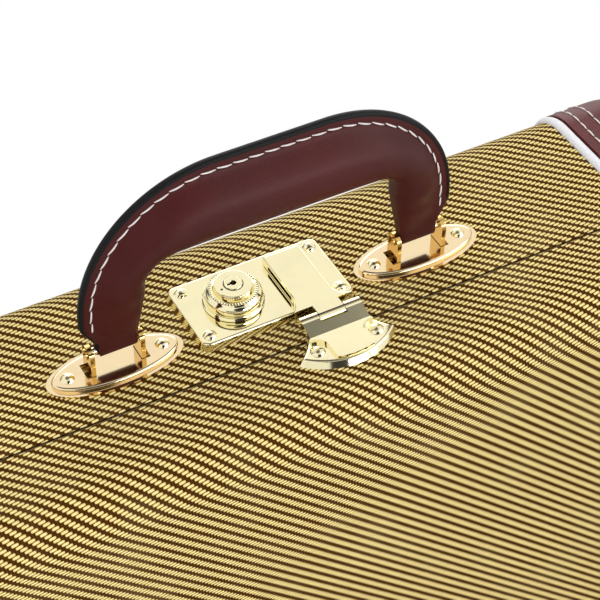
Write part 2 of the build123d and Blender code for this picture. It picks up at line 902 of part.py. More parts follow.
def hasp_screws():
    screws = []
    for x, y in hasp_screw_places:
        screw = Pos(0, 0, plate_height) * dome(screw_radius, screw_height)
        screw += upright(shank_radius, -shank_length, plate_height)
        slot_low = plate_height + screw_height / 2
        screw -= Rot(0, 0, 20) * box_between(
            (-screw_radius, -screw_slot / 2, slot_low), (screw_radius, screw_slot / 2, beyond)
        )
        screws.append(Pos(x, y, wall_top) * screw)
    return Compound(screws)


def build_nodes():
    """Every node of the case by its name."""
    grip = grip_body()
    core = handle_core(core_radius)
    bore = handle_core(core_radius + running_clearance)
    fin_inner = fin_slab(edge_width, fin_half_thickness)
    edge_ring = fin_slab(0, edge_half_thickness) - fin_slab(edge_width, edge_half_thickness + 1)
    nodes = {
        "base_shell": base_shell(),
        "base_cover": base_cover(),
        "base_lining": base_lining(),
        "rim_strip": rim_strip(),
        "foam_frame": foam_frame(),
        "slot_floor": slot_floor(),
        "row_divider": row_divider(),
        "slot_dividers": slot_dividers(),
        "bay_divider": bay_divider(),
        "bay_floor": bay_floor(),
        "base_feet": feet(base_foot_y),
        "base_hinge_leaves": hinge_leaves(1),
        "hinge_pins": hinge_pins(),
        "base_hinge_rivets": hinge_rivets(1),
        "loop_plate_left": loop_plate(-1),
        "loop_plate_right": loop_plate(1),
        "loop_bracket_left": loop_bracket(-1),
        "loop_bracket_right": loop_bracket(1),
        "loop_pins": loop_pins(),
        "loop_rivets": wall_rivets(loop_rivet_places, loop_height),
        "lock_plate": lock_plate(),
        "lock_case": lock_case(),
        "lock_rivets": wall_rivets(lock_rivet_places, lock_height),
        "lock_slide": lock_slide(),
        "lock_boss": lock_boss(),
        "key_plug": key_plug(),
        "lock_spring": lock_spring(),
        "lid_shell": lid_shell(),
        "lid_cover": lid_cover(),
        "lid_lining": lid_lining(),
        "lid_pad": lid_pad(),
        "lid_feet": feet(lid_foot_y),
        "lid_hinge_leaves": hinge_leaves(-1),
        "lid_hinge_rivets": hinge_rivets(-1),
        "hasp_plate": hasp_plate(),
        "hasp_pin": hasp_pin(),
        "hasp_screws": hasp_screws(),
        "hasp_leaf": hasp_leaf(),
        "handle_core": place_handle(core),
        "handle_grip": place_handle(grip - bore),
        "handle_fin": place_handle(fin_inner - grip),
        "handle_edge": place_handle(edge_ring - grip),
    }
    for side, half in ((1, "base"), (-1, "lid")):
        for end, name in ((-1, "left"), (1, "right")):
            nodes[f"{half}_leather_{name}"] = leather_end(side, end)
            nodes[f"{half}_piping_{name}"] = piping(side, end)
    return nodes


def write_parts():
    os.makedirs("parts", exist_ok=True)
    for name, shape in build_nodes().items():
        export_step(shape, f"parts/{name}.step")


write_parts()
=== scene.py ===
import math

import bmesh
import bpy
from bpy.props import FloatProperty, FloatVectorProperty, IntProperty, PointerProperty
from mathutils import Matrix, Vector


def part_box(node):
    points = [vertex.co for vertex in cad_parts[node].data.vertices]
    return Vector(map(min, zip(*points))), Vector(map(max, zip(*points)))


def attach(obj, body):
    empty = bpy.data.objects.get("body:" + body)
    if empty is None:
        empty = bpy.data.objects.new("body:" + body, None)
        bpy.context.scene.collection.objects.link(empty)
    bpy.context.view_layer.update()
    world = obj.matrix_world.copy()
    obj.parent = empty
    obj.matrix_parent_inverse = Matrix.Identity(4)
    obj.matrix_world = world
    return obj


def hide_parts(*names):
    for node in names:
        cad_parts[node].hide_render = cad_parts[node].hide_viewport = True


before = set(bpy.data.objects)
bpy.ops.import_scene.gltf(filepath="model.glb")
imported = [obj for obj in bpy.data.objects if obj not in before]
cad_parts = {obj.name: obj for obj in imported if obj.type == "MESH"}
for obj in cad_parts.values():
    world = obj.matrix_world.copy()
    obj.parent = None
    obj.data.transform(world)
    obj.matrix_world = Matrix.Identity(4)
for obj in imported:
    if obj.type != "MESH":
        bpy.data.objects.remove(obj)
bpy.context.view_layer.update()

bl_info = {
    "name": "Tweed harmonica case",
    "version": (1, 0, 0),
    "blender": (4, 5, 0),
    "location": "View3D > Sidebar > Case",
    "description": "Dresses a hinged tweed case with leather, stitching, gilt fittings and a plush inside",
    "category": "Object",
}

# Everything is in metres. These come from the frame, so the looks follow the construction.
mm = 0.001
cover_low, cover_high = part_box("base_cover")
lid_low, lid_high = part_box("lid_cover")
pins_low, pins_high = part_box("loop_pins")
boss_low, boss_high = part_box("lock_boss")
boss_seat = Vector(((boss_low.x + boss_high.x) / 2, (boss_low.y + boss_high.y) / 2, boss_low.z))
pad_low, pad_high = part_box("lid_pad")
hasp_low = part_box("hasp_plate")[0]
loop_low, loop_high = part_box("loop_plate_right")
leather_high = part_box("base_leather_right")[1]

wall_top = cover_high.z
wall_bottom = cover_low.z
base_back = cover_high.y
lid_face = lid_low.y
base_edge = cover_low.y
lid_edge = lid_high.y
cover_half = cover_high.x
seam_middle = (base_edge + lid_edge) / 2
edge_round = 18 * mm
pivot_y = (pins_low.y + pins_high.y) / 2
pivot_z = (pins_low.z + pins_high.z) / 2
loop_x = (loop_low.x + loop_high.x) / 2


def length_field(name, description, default):
    return FloatProperty(name=name, description=description, default=default, unit="LENGTH")


def colour_field(name, description, default):
    return FloatVectorProperty(name=name, description=description, default=default, subtype="COLOR")


class CaseSizes(bpy.types.PropertyGroup):
    """Sizes of the details that the construction leaves to the looks."""

    row_pitch: length_field("Row pitch", "Distance between two diagonal rows of the twill", 3.64 * mm)
    thread_pitch: length_field("Thread pitch", "Distance between two straw threads", 1.36 * mm)
    thread_tilt: FloatProperty(
        name="Thread tilt", description="Angle of the straw threads to the case's length",
        default=math.radians(6), subtype="ANGLE")
    float_share: FloatProperty(
        name="Float share", description="Part of the repeat where a straw thread lies on top",
        default=0.60, subtype="FACTOR")
    end_stitch_pitch: length_field(
        "End stitch pitch", "Distance between stitches on the leather ends", 5.4 * mm)
    handle_stitch_pitch: length_field(
        "Handle stitch pitch", "Distance between stitches on the handle", 6.15 * mm)
    thread_radius: length_field("Thread radius", "Radius of the sewing thread", 0.36 * mm)
    coin_notches: IntProperty(
        name="Coin notches", description="Notches round the boss's coined ring", default=52)


class CaseColours(bpy.types.PropertyGroup):
    """Colours of the finishes, as linear values."""

    straw: colour_field("Straw thread", "Light thread of the tweed", (0.96, 0.77, 0.34))
    shadow: colour_field(
        "Straw shadow", "Straw thread where it dips between its neighbours", (0.56, 0.33, 0.055))
    brown: colour_field("Brown thread", "Dark thread of the tweed", (0.046, 0.016, 0.0005))
    burgundy: colour_field("Leather", "Leather of the handle and the ends", (0.055, 0.0055, 0.0052))
    piping: colour_field("Piping", "Bead between tweed and leather", (0.78, 0.78, 0.80))
    thread: colour_field("Sewing thread", "Thread of every seam", (0.86, 0.80, 0.77))
    gilt: colour_field("Gilt", "Plating of the lock, hasp and loops", (0.97, 0.88, 0.57))
    plush: colour_field("Plush", "Lining and insert", (0.13, 0.014, 0.022))


def sizes():
    return bpy.context.scene.case_sizes


def colours():
    return bpy.context.scene.case_colours


def toned(colour, share, lift=0.0):
    """Colour scaled by a share and lifted by an amount."""
    return tuple(min(1.0, share * channel + lift) for channel in colour)


# Shader maths

def maths(operation, swapped=False):
    """Method that puts a wire and its operands through one maths node, the wire last if swapped."""
    def method(self, *others):
        return self.math(operation, *((*others, self) if swapped else (self, *others)))
    return method


class Wire:
    """A shader socket that can be written in sums."""

    def __init__(self, tree, socket):
        self.tree = tree
        self.socket = socket

    def math(self, operation, *values):
        node = self.tree.nodes.new("ShaderNodeMath")
        node.operation = operation
        for index, value in enumerate(values):
            connect(self.tree, value, node.inputs[index])
        return Wire(self.tree, node.outputs[0])

    __add__ = maths("ADD")
    __radd__ = maths("ADD", swapped=True)
    __sub__ = maths("SUBTRACT")
    __rsub__ = maths("SUBTRACT", swapped=True)
    __mul__ = maths("MULTIPLY")
    __rmul__ = maths("MULTIPLY", swapped=True)
    __truediv__ = maths("DIVIDE")
    __pow__ = maths("POWER")
    floor = maths("FLOOR")
    fraction = maths("FRACT")
    size = maths("ABSOLUTE")
    least = maths("MINIMUM")
    most = maths("MAXIMUM")
    sine = maths("SINE")

    def between(self, low, high):
        """0 at low and 1 at high, with a soft start and end."""
        node = self.tree.nodes.new("ShaderNodeMapRange")
        node.interpolation_type = "SMOOTHSTEP"
        for name, value in (("Value", self), ("From Min", low), ("From Max", high)):
            connect(self.tree, value, node.inputs[name])
        return Wire(self.tree, node.outputs["Result"])


def connect(tree, value, socket):
    """Puts a number, a colour or a wire on a socket."""
    if isinstance(value, Wire):
        tree.links.new(value.socket, socket)
    elif socket.type == "RGBA":
        socket.default_value = (*value, 1.0)
    else:
        socket.default_value = value


class Shader:
    """A node tree whose nodes are written as calls."""

    def __init__(self, tree, output):
        self.tree = tree
        tree.nodes.clear()
        self.output = tree.nodes.new(output)

    def node(self, kind, inputs=None, **settings):
        """Node of a type, with its settings first and then its sockets."""
        node = self.tree.nodes.new(kind)
        for name, value in settings.items():
            setattr(node, name, value)
        for name, value in (inputs or {}).items():
            connect(self.tree, value, node.inputs[name])
        return node

    def wire(self, node, output=0):
        return Wire(self.tree, node.outputs[output])

    def made(self, kind, inputs=None, **settings):
        """First output of a new node."""
        return self.wire(self.node(kind, inputs, **settings))

    def ramp(self, factor, stops):
        """Colour that follows (place, colour) stops."""
        node = self.node("ShaderNodeValToRGB", {"Fac": factor})
        elements = node.color_ramp.elements
        while len(elements) < len(stops):
            elements.new(1.0)
        for element, (place, colour) in zip(elements, stops):
            element.position = place
            element.color = (*colour, 1.0)
        return self.wire(node)

    def mix(self, factor, first, second):
        """Colour between two colours or wires."""
        node = self.node("ShaderNodeMix", {0: factor, 6: first, 7: second}, data_type="RGBA")
        return self.wire(node, 2)

    def either(self, factor, first, second):
        """Shader between two shaders."""
        return self.made("ShaderNodeMixShader", {0: factor, 1: first, 2: second})

    def end(self, shader):
        """Puts a shader on the output."""
        connect(self.tree, shader, self.output.inputs["Surface"])


class Finish(Shader):
    """A material."""

    def __init__(self, name):
        self.material = bpy.data.materials.new("case_" + name)
        self.material.use_nodes = True
        super().__init__(self.material.node_tree, "ShaderNodeOutputMaterial")

    def place(self):
        """Object coordinates in millimetres, as a vector and as three wires."""
        here = self.wire(self.node("ShaderNodeTexCoord"), "Object")
        vector = self.made("ShaderNodeVectorMath", {0: here, "Scale": 1 / mm}, operation="SCALE")
        parts = self.node("ShaderNodeSeparateXYZ", {0: vector})
        return vector, [self.wire(parts, axis) for axis in range(3)]

    def surface(self, name):
        """The piece's own UV map, as two wires in the map's units."""
        parts = self.node("ShaderNodeSeparateXYZ", {0: self.made("ShaderNodeUVMap", uv_map=name)})
        return self.wire(parts, 0), self.wire(parts, 1)

    def vector(self, x, y, z):
        return self.made("ShaderNodeCombineXYZ", {0: x, 1: y, 2: z})

    def stretch(self, vector, x, y, z):
        return self.made("ShaderNodeVectorMath", {0: vector, 1: (x, y, z)}, operation="MULTIPLY")

    def noise(self, vector, scale, detail=3.0, roughness=0.55):
        inputs = {"Vector": vector, "Scale": scale, "Detail": detail, "Roughness": roughness}
        return self.made("ShaderNodeTexNoise", inputs)

    def cells(self, vector, scale):
        return self.made("ShaderNodeTexVoronoi", {"Vector": vector, "Scale": scale})

    def bump(self, height, distance, strength=1.0):
        inputs = {"Height": height, "Distance": distance, "Strength": strength}
        return self.made("ShaderNodeBump", inputs)

    def skin(self, colour, roughness, normal=None, **constants):
        """Principled surface on the output; constants name other sockets with _ for spaces."""
        inputs = {"Base Color": colour, "Roughness": roughness}
        if normal is not None:
            inputs["Normal"] = normal
        for name, value in constants.items():
            inputs[name.replace("_", " ")] = value
        self.end(self.made("ShaderNodeBsdfPrincipled", inputs))
        return self.material


def paint(name):
    """A finish that was made before, by its name."""
    return bpy.data.materials["case_" + name]


def tweed():
    """Twill of straw threads over brown ones, in diagonal rows at 45 degrees, with painted shade at the
    seam.
    """
    finish = Finish("tweed")
    size = sizes()
    tint = colours()
    across, along = finish.surface("cloth")
    cosine = math.cos(size.thread_tilt)
    sine = math.sin(size.thread_tilt)
    run = across * cosine + along * sine
    rise = along * cosine - across * sine
    pitch = size.thread_pitch / mm
    number = (rise / pitch).floor()
    centre = (number + 0.5) * pitch
    repeat = size.row_pitch / mm * math.sqrt(2)
    row = (run * (cosine + sine) + centre * (cosine - sine)) / repeat
    from_middle = (row.fraction() - 0.5).size() * (2 / size.float_share)
    from_axis = ((rise / pitch).fraction() - 0.5).size() * 2
    shape = from_middle ** 4 + (from_axis * 1.12) ** 4
    on_top = 1 - shape.between(0.72, 1.12)
    dome = (1 - (from_axis ** 2) * 0.75) * (1 - (from_middle ** 2) * 0.35)
    fibre = finish.noise(finish.vector(run * 0.9, rise * 7.0, 0.0), 1.0, 2.0)
    lot = finish.noise(finish.vector(row.floor() * 7.31, number * 3.17, 0.0), 1.0, 1.0)
    cross_rib = (across * (2 * math.pi / pitch)).sine() * 0.5 + 0.5
    patch = finish.noise(finish.vector(across * 0.03, along * 0.03, 0.0), 1.0, 2.0)
    dull = toned(tint.straw, 0.72)
    pale = toned(tint.straw, 1.12, 0.02)
    light = finish.mix(lot * 0.6 + fibre * 0.5 - 0.05, dull, pale)
    light = finish.mix(dome.between(0.34, 0.96), tint.shadow, light)
    dark = finish.mix(cross_rib * 0.6 + fibre * 0.3, tint.brown, toned(tint.brown, 1.7, 0.003))
    cloth = finish.mix(on_top, dark, light)
    cloth = finish.mix((patch - 0.5).most(0.0) * 0.35, cloth, toned(tint.straw, 0.6))
    # Painted shade: the cloth turns near black along the seam between base and lid.
    from_seam = (along - seam_middle / mm).size()
    cloth = finish.mix(from_seam.between(0.15, 0.6), (0.012, 0.005, 0.001), cloth)
    height = on_top * dome + (1 - on_top) * cross_rib * 0.25 + fibre * 0.08
    relief = finish.bump(height, 0.45 * mm, 0.9)
    return finish.skin(cloth, 0.70 + fibre * 0.2, relief, Specular_IOR_Level=0.05)


def leather(name, colour, gloss):
    """Smooth dyed leather with fine pores and slow changes of tone."""
    finish = Finish(name)
    vector, axes = finish.place()
    pebble = finish.cells(vector, 1.1)
    fine = finish.noise(vector, 2.4, 4.0)
    cloud = finish.noise(vector, 0.025, 2.0)
    crease = finish.noise(finish.stretch(vector, 0.5, 1.6, 0.5), 0.22, 2.0)
    tone = finish.mix(cloud.between(0.3, 0.7), toned(colour, 0.84), toned(colour, 1.14, 0.001))
    tone = finish.mix(pebble * 0.3, tone, toned(colour, 0.6))
    height = (1 - pebble) * 0.6 + fine * 0.5 + crease * 0.15
    return finish.skin(
        tone, 0.40 + fine * 0.16, finish.bump(height, 0.14 * mm, 0.6), Specular_IOR_Level=gloss,
        Coat_Weight=0.02, Coat_Roughness=0.28)


def bead_skin():
    """White piping with a faint weave."""
    finish = Finish("piping")
    vector, axes = finish.place()
    weave = finish.cells(vector, 2.2)
    dirt = finish.noise(vector, 0.08, 3.0)
    white = colours().piping
    tone = finish.mix(dirt.between(0.45, 0.8) * 0.5 + weave * 0.25, white, toned(white, 0.80))
    return finish.skin(tone, 0.45 + weave * 0.2, finish.bump(weave, 0.08 * mm, 0.5))


def sewing_thread():
    """Twisted thread of the seams."""
    finish = Finish("sewing_thread")
    vector, axes = finish.place()
    twist = finish.noise(finish.stretch(vector, 3.0, 3.0, 3.0), 1.0, 2.0)
    pale = colours().thread
    tone = finish.mix(twist, toned(pale, 0.75), pale)
    return finish.skin(tone, 0.6 + twist * 0.15, finish.bump(twist, 0.08 * mm, 0.6))


def edge_paint():
    """Black paint brushed along the cut edge of the handle's leather."""
    finish = Finish("edge_paint")
    vector, axes = finish.place()
    streak = finish.noise(finish.stretch(vector, 1.0, 4.0, 1.0), 0.9, 3.0)
    tone = finish.mix(streak, (0.003, 0.003, 0.003), (0.010, 0.010, 0.011))
    relief = finish.bump(streak, 0.15 * mm, 0.5)
    return finish.skin(tone, 0.40 + streak * 0.2, relief, Specular_IOR_Level=0.15)


# The hasp's plate is pressed: below and in front of these lines its surface turns by these slopes.
skirt_line = hasp_low.z + 3.4 * mm
skirt_slope = 0.31
flat_line = hasp_low.y + 15.5 * mm
flat_slope = 0.08
# Distances in millimetres from a loop's middle over which the tone turns into the painted reflection on its
# ears.
ear_span = (8.7, 9.4)


def hasp_press(axes):
    """Depth of the press marks in the hasp's plate: its skirt flares and its flat leans back."""
    below = (axes[2] - skirt_line / mm).least(0.0)
    front = (axes[1] - flat_line / mm).least(0.0)
    return below * skirt_slope + front * flat_slope


def ears_painted_reflection(axes):
    """1 on the ears of the loops' brackets, where a darker orange tone is a painted reflection."""
    return (axes[0].size() - loop_x / mm).size().between(*ear_span)


def plated(name, colour, haze, lines, press=None, painted_reflection_mask=None):
    """Polished plating with a trace of handling haze, hairline scratches and a slow wave, and a painted
    reflection where a mask is given.
    """
    finish = Finish(name)
    vector, axes = finish.place()
    haze_map = finish.noise(vector, 0.10, 3.0)
    scratch = finish.noise(finish.stretch(vector, 0.35, 9.0, 1.0), 0.8, 2.0)
    tone = finish.mix(haze_map.between(0.4, 0.8), colour, toned(colour, 0.95))
    rough = haze + (haze_map * 0.03) + scratch.between(0.6, 0.85) * lines
    relief = finish.noise(vector, 0.11, 0.0) * 0.015
    if press:
        relief = relief - press(axes)
    if painted_reflection_mask:
        # Painted reflection: the tone turns to a darker orange where the mask is 1.
        reflection_orange = (0.76 * colour[0], 0.63 * colour[1], 0.33 * colour[2])
        tone = finish.mix(painted_reflection_mask(axes), tone, reflection_orange)
    return finish.skin(tone, rough, finish.bump(relief, mm), Metallic=1.0)


def keyhole_dark():
    """Near-black painted shade for the keyway, the groove, the notches and the needle holes, mottled
    towards dark brown.
    """
    finish = Finish("keyway")
    vector, axes = finish.place()
    mottle = finish.noise(vector, 1.2, 2.0)
    return finish.skin(finish.mix(mottle, (0.004, 0.004, 0.004), (0.03, 0.024, 0.015)), 0.6)


def plush_skin(name, colour, nap):
    """Short pile: mottled, soft at grazing angles, with a nap brushed in patches."""
    finish = Finish(name)
    vector, axes = finish.place()
    pile = finish.noise(vector, 1.8, 4.0, 0.7)
    brushed = finish.noise(vector, 0.03, 3.0)
    tone = finish.mix(pile * 0.6 + brushed * 0.5, toned(colour, 0.45), toned(colour, 1.5, 0.004))
    return finish.skin(tone, 0.9 - brushed * 0.1, finish.bump(pile, nap, 0.8), Sheen_Weight=0.12,
                       Sheen_Roughness=0.5, Specular_IOR_Level=0.1)


def plywood():
    """Birch ply with its glue lines across the case."""
    finish = Finish("birch_ply")
    vector, axes = finish.place()
    grain = finish.noise(finish.stretch(vector, 0.05, 1.4, 0.6), 1.0, 4.0)
    layers = ((axes[1] + grain * 0.4) * (math.pi / 0.8)).sine() * 0.5 + 0.5
    tone = finish.mix(grain * 0.7 + layers * 0.3, (0.30, 0.19, 0.09), (0.62, 0.45, 0.26))
    return finish.skin(tone, 0.55 + grain * 0.2, finish.bump(grain, 0.1 * mm, 0.5))


def plain_steel():
    """Brushed steel of the lock's hidden parts."""
    finish = Finish("steel")
    vector, axes = finish.place()
    brush = finish.noise(finish.stretch(vector, 0.2, 6.0, 6.0), 1.0, 3.0)
    tone = finish.mix(brush, (0.32, 0.32, 0.33), (0.60, 0.60, 0.61))
    return finish.skin(tone, 0.28 + brush * 0.2, finish.bump(brush, 0.03 * mm, 0.5), Metallic=1.0)


# Meshes

def placed(name, data):
    """Object in the scene for a mesh, a curve, a light or a camera."""
    thing = bpy.data.objects.new(name, data)
    bpy.context.scene.collection.objects.link(thing)
    return thing


def painted(thing, material):
    """Gives an object one finish and no other."""
    thing.data.materials.clear()
    thing.data.materials.append(material)
    return thing


def dress(finishes):
    """Gives the frame's nodes their finishes, from each finish's name to its nodes."""
    for name, nodes in finishes.items():
        for node in nodes:
            painted(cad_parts[node], paint(name))


def piece(name, vertices, faces, material, body, sharp, uv=None):
    """A named mesh piece that rides on a body, with edges where its faces meet at a sharp angle."""
    mesh = bpy.data.meshes.new(name)
    mesh.from_pydata([tuple(v) for v in vertices], [], faces)
    mesh.update()
    thing = painted(placed(name, mesh), material)
    if uv:
        layer = mesh.uv_layers.new(name="cloth")
        for loop in mesh.loops:
            layer.data[loop.index].uv = uv[loop.vertex_index]
    turned_out(thing)
    smooth(thing, sharp)
    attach(thing, body)
    return thing


def smooth(thing, degrees):
    """Smooth shading that keeps edges sharper than an angle."""
    mesh = thing.data
    mesh.shade_smooth()
    mesh.set_sharp_from_angle(angle=math.radians(degrees))
    mesh.update()


def turned_out(thing):
    """Points every face outwards."""
    shape = bmesh.new()
    shape.from_mesh(thing.data)
    bmesh.ops.remove_doubles(shape, verts=shape.verts, dist=0.001 * mm)
    bmesh.ops.recalc_face_normals(shape, faces=shape.faces)
    shape.to_mesh(thing.data)
    shape.free()


def grid_faces(rows, columns, closed=False):
    """Quads between numbered rows and columns of vertices."""
    faces = []
    for row in range(rows - 1):
        for column in range(columns if closed else columns - 1):
            following = (column + 1) % columns
            faces.append((
                row * columns + column,
                row * columns + following,
                (row + 1) * columns + following,
                (row + 1) * columns + column,
            ))
    return faces


def tube_faces(rings, count):
    """Faces of a tube of rings with an equal count of vertices, and its two ends."""
    last = (rings - 1) * count
    ends = [tuple(range(count))[::-1], tuple(range(last, last + count))]
    return grid_faces(rings, count, closed=True) + ends


def case_section(side, inset, arc_steps=14):
    """Points (y, z, run) round the base for side 1 or the lid for side -1, from seam to seam."""
    edge = base_edge if side > 0 else lid_edge
    face = base_back if side > 0 else lid_face
    radius = edge_round - inset
    top = wall_top - inset
    low = wall_bottom + inset
    turn_y = face - side * edge_round
    flat = abs(turn_y - edge)
    half = [(edge, 0.0, 0.0)]
    for step in range(arc_steps + 1):
        angle = math.pi / 2 * step / arc_steps
        drop = radius * (1 - math.cos(angle))
        half.append((turn_y + side * radius * math.sin(angle), drop, flat + edge_round * angle))
    whole = 2 * half[-1][2] + top - low - 2 * radius
    points = [(y, top - drop, edge + side * run) for y, drop, run in half]
    return points + [(y, low + drop, edge + side * (whole - run)) for y, drop, run in half[::-1]]


def rolled(section, side, thickness):
    """Section whose two ends roll over into the seam."""
    edge_y = section[0][0]
    start = []
    end = []
    for step in range(4):
        angle = math.pi / 2 * step / 4
        drop = thickness * (1 - math.sin(angle))
        back = thickness * (1 - math.cos(angle))
        run = side * thickness * (1 + angle - math.pi / 2)
        start.append((edge_y + side * back, section[0][1] - drop, section[0][2] + run))
        end.append((edge_y + side * back, section[-1][1] + drop, section[-1][2] - run))
    first = (edge_y + side * thickness, section[0][1], section[0][2] + side * thickness)
    last = (edge_y + side * thickness, section[-1][1], section[-1][2] - side * thickness)
    return start + [first] + section[1:-1] + [last] + end[::-1]


def cover(side, name, body, node):
    """Tweed glued round one half of the case, with its edges rolled into the seam."""
    roll = 0.9 * mm
    thickness = 1.0 * mm
    stations = 25
    loop = rolled(case_section(side, 0.0), side, roll) + case_section(side, thickness)[::-1]
    vertices = []
    chart = []
    for station in range(stations):
        x = cover_half * (2 * station / (stations - 1) - 1)
        for y, z, run in loop:
            vertices.append((x, y, z))
            chart.append((x / mm, run / mm))
    faces = tube_faces(stations, len(loop))
    thing = piece(name, vertices, faces, paint("tweed"), body, 35, chart)
    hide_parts(node)


# Handle, in its own place: X along it, Z up from the wall, Y across it

fin_top = 85 * mm
fin_side = 78 * mm
fin_arc = 56 * mm
fin_low = 25 * mm
foot_x = 72.8 * mm
foot_z = 16.6 * mm
fin_half = 1.35 * mm
edge_width = 1.2 * mm
fin_margin = 2.3 * mm
seam_inset = 4.6 * mm
inner_x = 52.2 * mm
inner_z = 51.3 * mm
inner_bend = 11 * mm
tongue_x = 56.1 * mm
tongue_low = 9.2 * mm
tongue_half = 2.8 * mm
tongue_corner = 2 * mm
lean_low = 15.3 * mm
lean_reach = 20.7 * mm
leg_half = 7.6 * mm
bar_half = 10.6 * mm
handle_place = Vector((0, pivot_y, wall_top))


def ease(value):
    value = min(1.0, max(0.0, value))
    return value * value * (3 - 2 * value)


def blend(places, value):
    """Smooth course through (value, result) pairs."""
    for (low, first), (high, second) in zip(places, places[1:]):
        if value <= high:
            return first + (second - first) * ease((value - low) / (high - low))
    return places[-1][1]


def outer_x(z):
    """Half width of the handle's outline on its leg at a height."""
    hub_z = fin_top - fin_arc
    if z >= hub_z:
        return fin_side - fin_arc + math.sqrt(fin_arc ** 2 - (z - hub_z) ** 2)
    if z >= fin_low:
        return fin_side
    return foot_x + (fin_side - foot_x) * max(0.0, z - foot_z) / (fin_low - foot_z)


def grip_sections():
    """Sections of the half handle from its foot to its middle: inner point, way out, width, thickness."""
    sections = []
    pin_z = pivot_z - wall_top
    leg_top = inner_z - inner_bend
    for step in range(34):
        share = step / 33
        z = tongue_low + 0.05 * mm + (leg_top - tongue_low - 0.05 * mm) * (0.35 * share + 0.65 * share ** 2)
        inner = tongue_x - (tongue_x - inner_x) * min(1.0, max(0.0, z - lean_low) / lean_reach)
        lift = max(0.0, tongue_corner - (z - tongue_low))
        corner = tongue_corner - math.sqrt(max(0.0, tongue_corner ** 2 - lift ** 2))
        thick = blend(((0, tongue_half), (15.5 * mm, tongue_half), (29 * mm, 5.2 * mm),
                       (leg_top, leg_half)), z)
        if z < pin_z:
            thick = min(thick, math.sqrt(max(0.0, tongue_half ** 2 - (pin_z - z) ** 2)))
        width = outer_x(z) - edge_width - inner - 2 * corner
        sections.append((Vector((inner + corner, 0, z)), Vector((1, 0, 0)), width, thick))
    centre = Vector((inner_x - inner_bend, 0, inner_z - inner_bend))
    hub = Vector((fin_side - fin_arc, 0, fin_top - fin_arc))
    reach = fin_arc - edge_width
    for step in range(1, 24):
        turn = math.pi / 2 * step / 24
        out = Vector((math.cos(turn), 0, math.sin(turn)))
        inner = centre + out * inner_bend
        gap = inner - hub
        along = gap.dot(out)
        width = -along + math.sqrt(along ** 2 - gap.length_squared + reach ** 2)
        width = min(width, (fin_top - edge_width - inner.z) / max(out.z, 0.01))
        width = min(width, (fin_side - edge_width - inner.x) / max(out.x, 0.01))
        thick = blend(((0, leg_half), (0.5, 9.2 * mm), (1, bar_half)), step / 24)
        sections.append((inner, out, width, thick))
    for step in range(17):
        x = (inner_x - inner_bend) * (1 - step / 16)
        width = hub.z + math.sqrt(reach ** 2 - max(0.0, x - hub.x) ** 2) - inner_z
        sections.append((Vector((x, 0, inner_z)), Vector((0, 0, 1)), width, bar_half))
    return sections


def grip_ring(inner, out, width, thick):
    """Ring of the padded grip: narrow inner side, full body, valley at the seam and flat fin."""
    side = min(1.9 * mm, thick * 0.80)
    flat = max(0.0, 1 - (thick - tongue_half) / (2.4 * mm))
    fin = min(thick, fin_half + (tongue_half - fin_half) * flat)
    seam = width + edge_width - seam_inset - 0.5 * mm
    full = min(thick * 1.25, seam * 0.42)
    half = []
    for step in range(13):
        share = 1 - math.cos(math.pi / 2 * step / 12)
        swell = math.sqrt(max(0.0, 1 - (1 - share) ** 2))
        half.append((full * share, side + (thick - side) * swell))
    for step in range(1, 15):
        share = step / 14
        half.append((full + (seam - full) * share, fin + (thick - fin) * (1 - share ** 2.3) ** 1.5))
    half += [(seam + (width - seam) * 0.5, fin), (width - 0.2 * mm, fin), (width, fin - 0.2 * mm)]
    whole = half + [(along, -across) for along, across in half[::-1]]
    return [inner + out * along + Vector((0, 1, 0)) * across for along, across in whole]


def mirrored(sections):
    """Whole handle from its half."""
    flip = Matrix.Scale(-1, 3, (1, 0, 0))
    return [(flip @ inner, flip @ out, width, thick) for inner, out, width, thick in sections]


def handle_leather():
    """Padded leather grip with its flat tongues and its fin."""
    half = grip_sections()
    rings = [grip_ring(*section) for section in half[:-1] + mirrored(half)[::-1]]
    vertices = [point + handle_place for ring in rings for point in ring]
    faces = tube_faces(len(rings), len(rings[0]))
    grip = piece("handle_leather", vertices, faces, paint("leather"), "handle", 50)
    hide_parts("handle_grip", "handle_fin", "handle_core")


def fin_line(inset, low_z):
    """Points along the handle's outer edge, moved in by inset, from foot to foot."""
    radius = fin_arc - inset
    hub_x = fin_side - fin_arc
    hub_z = fin_top - fin_arc
    half = []
    for step in range(12):
        z = low_z + (hub_z - low_z) * step / 12
        half.append(Vector((min(fin_side - inset, outer_x(z) - min(inset, fin_margin)), 0, z)))
    for step in range(49):
        angle = math.pi / 2 * step / 48
        half.append(Vector((hub_x + radius * math.cos(angle), 0, hub_z + radius * math.sin(angle))))
    for step in range(1, 8):
        half.append(Vector((hub_x * (1 - step / 8), 0, fin_top - inset)))
    middle = [Vector((0, 0, fin_top - inset))]
    return half + middle + [Vector((-point.x, 0, point.z)) for point in half[::-1]]


def handle_edge():
    """Rounded band of paint along the outer edge."""
    line = fin_line(edge_width, 10.8 * mm)
    half = [(-0.4, 1.55), (0.35, 1.52), (0.85, 1.25), (1.12, 0.75)]
    profile = half + [(1.2, 0.0)] + [(along, -across) for along, across in half[::-1]]
    vertices = []
    for index, point in enumerate(line):
        run = line[min(len(line) - 1, index + 1)] - line[max(0, index - 1)]
        out = Vector((run.z, 0, -run.x)).normalized()
        for along, across in profile:
            vertices.append(point + handle_place + out * along * mm + Vector((0, across * mm, 0)))
    faces = tube_faces(len(line), len(profile))
    band = piece("handle_paint", vertices, faces, paint("edge_paint"), "handle", 60)
    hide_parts("handle_edge")


# Rows of small shapes, which one tree lays along a path

thread_stand = 0.05 * mm
end_rows = (10 * mm, 17 * mm)
end_stitch = 5.0 * mm
handle_stitch = 5.9 * mm


